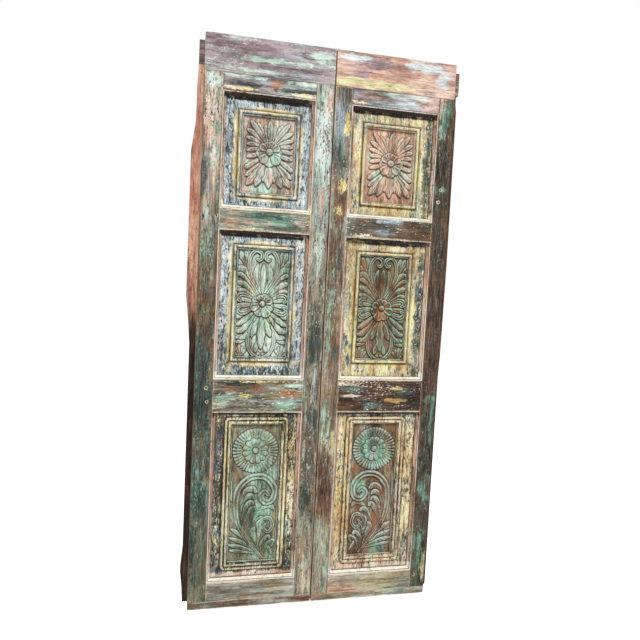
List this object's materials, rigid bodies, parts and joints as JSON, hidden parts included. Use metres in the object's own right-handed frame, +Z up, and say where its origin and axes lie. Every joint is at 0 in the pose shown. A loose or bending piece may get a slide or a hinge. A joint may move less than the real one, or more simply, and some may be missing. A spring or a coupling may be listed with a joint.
{
  "type": "double sliding door with frame",
  "caption": "Pair of old carved panel leaves that slide apart in front of a plain frame of two posts and a head, hung from a two stage roller gear hidden behind their top boards.",
  "frame": {"origin": "on the floor, at the meeting line of the closed leaves, in the middle of the depth from leaf face to wall", "axes": "X to the viewer's right, Y away from the viewer towards the wall, Z up"},
  "size_m": [1.004, 0.142, 2.044],
  "materials": {
    "board_paint": "worn mauve and mint paint",
    "stile_paint": "worn beige and grey paint",
    "rail_paint": "worn slate and brown paint",
    "field_paint": "flaking blue grey and cream paint",
    "moulding_paint": "worn cream and brown paint",
    "carving_paint": "mint paint over brown wood",
    "strip_wood": "dark worn wood",
    "post_wood": "reddish brown wood",
    "head_wood": "purple grey weathered wood",
    "zinc_steel": "zinc plated",
    "roller_nylon": "moulded",
    "stop_rubber": "matt"
  },
  "bodies": {
    "frame": {"frame_head": "head_wood", "frame_left_post": "post_wood", "frame_right_post": "post_wood", "left_head_track": "zinc_steel", "right_head_track": "zinc_steel", "left_floor_guide": "zinc_steel", "right_floor_guide": "zinc_steel", "track_stops": "stop_rubber"},
    "left_leaf": {"left_top_board": "board_paint", "left_bottom_strip": "strip_wood", "left_meeting_stile": "stile_paint", "left_outer_stile": "stile_paint", "left_hanging_channel": "zinc_steel", "left_channel_stops": "stop_rubber", "left_top_rail": "rail_paint", "left_upper_mid_rail": "rail_paint", "left_lower_mid_rail": "rail_paint", "left_bottom_rail": "rail_paint", "left_upper_panel": "field_paint", "left_middle_panel": "field_paint", "left_lower_panel": "field_paint", "left_upper_moulding": "moulding_paint", "left_middle_moulding": "moulding_paint", "left_lower_moulding": "moulding_paint", "left_upper_carving": "carving_paint", "left_middle_carving": "carving_paint", "left_lower_carving": "carving_paint"},
    "left_carriage": {"left_carriage_bar": "zinc_steel", "left_carriage_axles": "zinc_steel"},
    "left_head_wheel_1": {"left_head_wheel_1": "roller_nylon"},
    "left_head_wheel_2": {"left_head_wheel_2": "roller_nylon"},
    "left_leaf_wheel_1": {"left_leaf_wheel_1": "roller_nylon"},
    "left_leaf_wheel_2": {"left_leaf_wheel_2": "roller_nylon"},
    "right_leaf": {"right_top_board": "board_paint", "right_bottom_strip": "strip_wood", "right_meeting_stile": "stile_paint", "right_outer_stile": "stile_paint", "right_hanging_channel": "zinc_steel", "right_channel_stops": "stop_rubber", "right_top_rail": "rail_paint", "right_upper_mid_rail": "rail_paint", "right_lower_mid_rail": "rail_paint", "right_bottom_rail": "rail_paint", "right_upper_panel": "field_paint", "right_middle_panel": "field_paint", "right_lower_panel": "field_paint", "right_upper_moulding": "moulding_paint", "right_middle_moulding": "moulding_paint", "right_lower_moulding": "moulding_paint", "right_upper_carving": "carving_paint", "right_middle_carving": "carving_paint", "right_lower_carving": "carving_paint"},
    "right_carriage": {"right_carriage_bar": "zinc_steel", "right_carriage_axles": "zinc_steel"},
    "right_head_wheel_1": {"right_head_wheel_1": "roller_nylon"},
    "right_head_wheel_2": {"right_head_wheel_2": "roller_nylon"},
    "right_leaf_wheel_1": {"right_leaf_wheel_1": "roller_nylon"},
    "right_leaf_wheel_2": {"right_leaf_wheel_2": "roller_nylon"}
  },
  "joints": [
    {"name": "left_leaf_slide", "type": "slide", "parent": "frame", "child": "left_leaf", "axis": [-1, 0, 0], "range_m": [0, 0.42]},
    {"name": "left_carriage_slide", "type": "slide", "parent": "frame", "child": "left_carriage", "axis": [-1, 0, 0], "range_m": [0, 0.21]},
    {"name": "left_head_wheel_1_spin", "type": "hinge", "parent": "left_carriage", "child": "left_head_wheel_1", "pos_m": [-0.03, -0.0075, 2.002], "axis": [0, 1, 0], "range_deg": [-767, 0]},
    {"name": "left_head_wheel_2_spin", "type": "hinge", "parent": "left_carriage", "child": "left_head_wheel_2", "pos_m": [-0.219, -0.0075, 2.002], "axis": [0, 1, 0], "range_deg": [-767, 0]},
    {"name": "left_leaf_wheel_1_spin", "type": "hinge", "parent": "left_carriage", "child": "left_leaf_wheel_1", "pos_m": [-0.24, -0.0075, 2.002], "axis": [0, 1, 0], "range_deg": [-767, 0]},
    {"name": "left_leaf_wheel_2_spin", "type": "hinge", "parent": "left_carriage", "child": "left_leaf_wheel_2", "pos_m": [-0.429, -0.0075, 2.002], "axis": [0, 1, 0], "range_deg": [-767, 0]},
    {"name": "right_leaf_slide", "type": "slide", "parent": "frame", "child": "right_leaf", "axis": [1, 0, 0], "range_m": [0, 0.42]},
    {"name": "right_carriage_slide", "type": "slide", "parent": "frame", "child": "right_carriage", "axis": [1, 0, 0], "range_m": [0, 0.21]},
    {"name": "right_head_wheel_1_spin", "type": "hinge", "parent": "right_carriage", "child": "right_head_wheel_1", "pos_m": [0.03, -0.0075, 2.002], "axis": [0, 1, 0], "range_deg": [0, 767]},
    {"name": "right_head_wheel_2_spin", "type": "hinge", "parent": "right_carriage", "child": "right_head_wheel_2", "pos_m": [0.219, -0.0075, 2.002], "axis": [0, 1, 0], "range_deg": [0, 767]},
    {"name": "right_leaf_wheel_1_spin", "type": "hinge", "parent": "right_carriage", "child": "right_leaf_wheel_1", "pos_m": [0.24, -0.0075, 2.002], "axis": [0, 1, 0], "range_deg": [0, 767]},
    {"name": "right_leaf_wheel_2_spin", "type": "hinge", "parent": "right_carriage", "child": "right_leaf_wheel_2", "pos_m": [0.429, -0.0075, 2.002], "axis": [0, 1, 0], "range_deg": [0, 767]}
  ],
  "couplings": [
    {"joint": "left_carriage_slide", "follows": "left_leaf_slide", "ratio": 0.5},
    {"joint": "left_head_wheel_1_spin", "follows": "left_leaf_slide", "rad_per_m": -31.847},
    {"joint": "left_head_wheel_2_spin", "follows": "left_leaf_slide", "rad_per_m": -31.847},
    {"joint": "left_leaf_wheel_1_spin", "follows": "left_leaf_slide", "rad_per_m": -31.847},
    {"joint": "left_leaf_wheel_2_spin", "follows": "left_leaf_slide", "rad_per_m": -31.847},
    {"joint": "right_carriage_slide", "follows": "right_leaf_slide", "ratio": 0.5},
    {"joint": "right_head_wheel_1_spin", "follows": "right_leaf_slide", "rad_per_m": 31.847},
    {"joint": "right_head_wheel_2_spin", "follows": "right_leaf_slide", "rad_per_m": 31.847},
    {"joint": "right_leaf_wheel_1_spin", "follows": "right_leaf_slide", "rad_per_m": 31.847},
    {"joint": "right_leaf_wheel_2_spin", "follows": "right_leaf_slide", "rad_per_m": 31.847}
  ]
}
